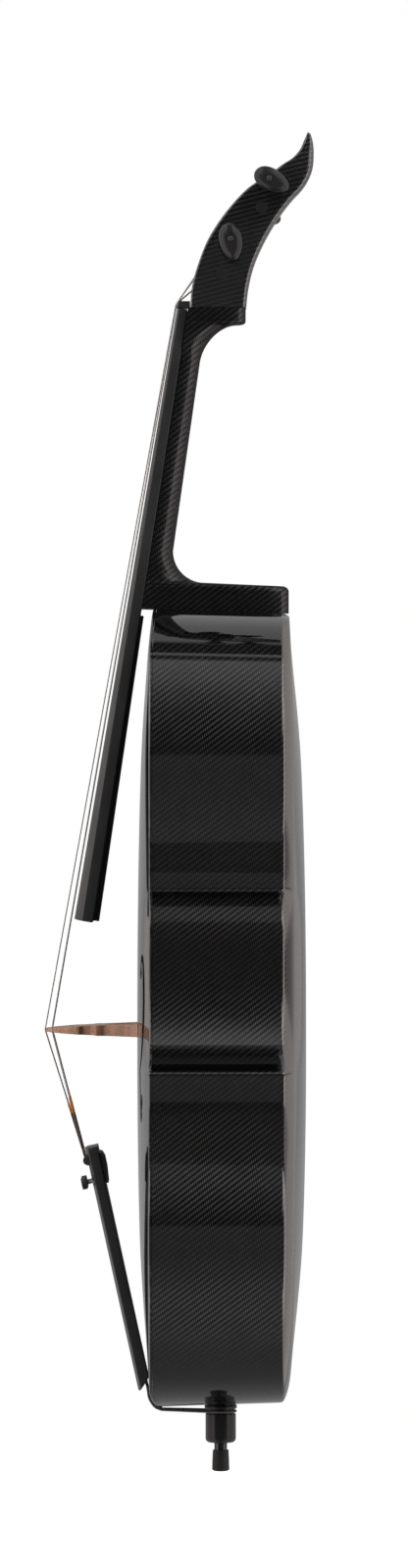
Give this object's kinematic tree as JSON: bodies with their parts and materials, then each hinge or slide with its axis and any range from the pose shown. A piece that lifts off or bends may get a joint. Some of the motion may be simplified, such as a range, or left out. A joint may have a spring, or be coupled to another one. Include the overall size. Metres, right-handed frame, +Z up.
{
  "type": "cello",
  "caption": "Full-size cello: arched twill shell and neck, pegbox with friction pegs, tall bridge, tailpiece with lever fine tuners, and a sliding endpin locked by a twist collar.",
  "frame": {"origin": "centre of the flat at the bottom of the endpin's rubber tip, with the endpin pushed in", "axes": "+Z up the instrument along the endpin, -Y towards the strings and the player's bow, +X towards the treble side"},
  "size_m": [0.44, 0.2545, 1.266],
  "materials": {
    "carbon_shell": "clear-coated black carbon twill, high gloss",
    "carbon_bar": "uncoated carbon laminate",
    "composite_block": "cast epoxy composite",
    "fingerboard": "satin black composite",
    "bridge_maple": "bare maple, fine flecks",
    "soundpost_spruce": "bare spruce",
    "satin_composite": "satin black moulded composite",
    "rod_carbon": "polished carbon tube",
    "tip_rubber": "matte black rubber",
    "cord_fibre": "braided synthetic cord",
    "pin_steel": "turned steel",
    "string_steel": "flat-wound steel"
  },
  "bodies": {
    "instrument": {"body_tub": "carbon_shell", "top_plate": "carbon_shell", "neck": "carbon_shell", "pegbox": "carbon_shell", "fingerboard": "fingerboard", "nut": "fingerboard", "bridge": "bridge_maple", "soundpost": "soundpost_spruce", "bass_bar": "carbon_bar", "neck_block": "composite_block", "end_block": "composite_block", "saddle": "fingerboard", "tailpiece": "satin_composite", "tuner_axle": "pin_steel", "tail_cord": "cord_fibre", "endpin_socket": "satin_composite", "endpin_collet": "satin_composite", "string_a": "string_steel", "string_d": "string_steel", "string_g": "string_steel", "string_c": "string_steel"},
    "peg_a": {"peg_a": "satin_composite", "peg_pip_a": "satin_composite"},
    "peg_d": {"peg_d": "satin_composite", "peg_pip_d": "satin_composite"},
    "peg_g": {"peg_g": "satin_composite", "peg_pip_g": "satin_composite"},
    "peg_c": {"peg_c": "satin_composite", "peg_pip_c": "satin_composite"},
    "tuner_screw_a": {"tuner_stem_a": "pin_steel"},
    "tuner_knob_a": {"tuner_knob_a": "satin_composite"},
    "tuner_lever_a": {"tuner_lever_a": "satin_composite", "string_ball_a": "pin_steel"},
    "tuner_screw_d": {"tuner_stem_d": "pin_steel"},
    "tuner_knob_d": {"tuner_knob_d": "satin_composite"},
    "tuner_lever_d": {"tuner_lever_d": "satin_composite", "string_ball_d": "pin_steel"},
    "tuner_screw_g": {"tuner_stem_g": "pin_steel"},
    "tuner_knob_g": {"tuner_knob_g": "satin_composite"},
    "tuner_lever_g": {"tuner_lever_g": "satin_composite", "string_ball_g": "pin_steel"},
    "tuner_screw_c": {"tuner_stem_c": "pin_steel"},
    "tuner_knob_c": {"tuner_knob_c": "satin_composite"},
    "tuner_lever_c": {"tuner_lever_c": "satin_composite", "string_ball_c": "pin_steel"},
    "endpin_lock": {"endpin_lock_collar": "satin_composite"},
    "endpin": {"endpin_rod": "rod_carbon", "endpin_tip": "tip_rubber"}
  },
  "joints": [
    {"name": "peg_a_turn", "type": "hinge", "parent": "instrument", "child": "peg_a", "pos_m": [0, 0.0091, 1.1617], "axis": [1, 0, 0], "range_deg": [-180, 180]},
    {"name": "peg_d_turn", "type": "hinge", "parent": "instrument", "child": "peg_d", "pos_m": [0, 0.0454, 1.2187], "axis": [1, 0, 0], "range_deg": [-180, 180]},
    {"name": "peg_g_turn", "type": "hinge", "parent": "instrument", "child": "peg_g", "pos_m": [0, 0.03839, 1.19349], "axis": [-1, 0, 0], "range_deg": [-180, 180]},
    {"name": "peg_c_turn", "type": "hinge", "parent": "instrument", "child": "peg_c", "pos_m": [0, 0.0013, 1.13109], "axis": [-1, 0, 0], "range_deg": [-180, 180]},
    {"name": "tuner_screw_a_travel", "type": "slide", "parent": "instrument", "child": "tuner_screw_a", "axis": [0, 0.9767, 0.2147], "range_m": [0, 0.004]},
    {"name": "tuner_knob_a_turn", "type": "hinge", "parent": "tuner_screw_a", "child": "tuner_knob_a", "pos_m": [0.0225, -0.12134, 0.27458], "axis": [0, 0.9767, 0.2147], "range_deg": [0, 2881]},
    {"name": "tuner_lever_a_tilt", "type": "hinge", "parent": "instrument", "child": "tuner_lever_a", "pos_m": [0.0225, -0.12054, 0.29657], "axis": [1, 0, 0], "range_deg": [0, 10.95]},
    {"name": "tuner_screw_d_travel", "type": "slide", "parent": "instrument", "child": "tuner_screw_d", "axis": [0, 0.9767, 0.2147], "range_m": [0, 0.004]},
    {"name": "tuner_knob_d_turn", "type": "hinge", "parent": "tuner_screw_d", "child": "tuner_knob_d", "pos_m": [0.0075, -0.12134, 0.27458], "axis": [0, 0.9767, 0.2147], "range_deg": [0, 2881]},
    {"name": "tuner_lever_d_tilt", "type": "hinge", "parent": "instrument", "child": "tuner_lever_d", "pos_m": [0.0075, -0.12054, 0.29657], "axis": [1, 0, 0], "range_deg": [0, 10.95]},
    {"name": "tuner_screw_g_travel", "type": "slide", "parent": "instrument", "child": "tuner_screw_g", "axis": [0, 0.9767, 0.2147], "range_m": [0, 0.004]},
    {"name": "tuner_knob_g_turn", "type": "hinge", "parent": "tuner_screw_g", "child": "tuner_knob_g", "pos_m": [-0.0075, -0.12134, 0.27458], "axis": [0, 0.9767, 0.2147], "range_deg": [0, 2881]},
    {"name": "tuner_lever_g_tilt", "type": "hinge", "parent": "instrument", "child": "tuner_lever_g", "pos_m": [-0.0075, -0.12054, 0.29657], "axis": [1, 0, 0], "range_deg": [0, 10.95]},
    {"name": "tuner_screw_c_travel", "type": "slide", "parent": "instrument", "child": "tuner_screw_c", "axis": [0, 0.9767, 0.2147], "range_m": [0, 0.004]},
    {"name": "tuner_knob_c_turn", "type": "hinge", "parent": "tuner_screw_c", "child": "tuner_knob_c", "pos_m": [-0.0225, -0.12134, 0.27458], "axis": [0, 0.9767, 0.2147], "range_deg": [0, 2881]},
    {"name": "tuner_lever_c_tilt", "type": "hinge", "parent": "instrument", "child": "tuner_lever_c", "pos_m": [-0.0225, -0.12054, 0.29657], "axis": [1, 0, 0], "range_deg": [0, 10.95]},
    {"name": "endpin_lock_twist", "type": "hinge", "parent": "instrument", "child": "endpin_lock", "pos_m": [0, 0, 0.041], "axis": [0, 0, 1], "range_deg": [0, 120]},
    {"name": "endpin_slide", "type": "slide", "parent": "instrument", "child": "endpin", "axis": [0, 0, -1], "range_m": [0, 0.35]}
  ],
  "couplings": [
    {"joint": "tuner_knob_a_turn", "follows": "tuner_screw_a_travel", "rad_per_m": 12566},
    {"joint": "tuner_lever_a_tilt", "follows": "tuner_screw_a_travel", "rad_per_m": 47.5},
    {"joint": "tuner_knob_d_turn", "follows": "tuner_screw_d_travel", "rad_per_m": 12566},
    {"joint": "tuner_lever_d_tilt", "follows": "tuner_screw_d_travel", "rad_per_m": 47.5},
    {"joint": "tuner_knob_g_turn", "follows": "tuner_screw_g_travel", "rad_per_m": 12566},
    {"joint": "tuner_lever_g_tilt", "follows": "tuner_screw_g_travel", "rad_per_m": 47.5},
    {"joint": "tuner_knob_c_turn", "follows": "tuner_screw_c_travel", "rad_per_m": 12566},
    {"joint": "tuner_lever_c_tilt", "follows": "tuner_screw_c_travel", "rad_per_m": 47.5}
  ]
}
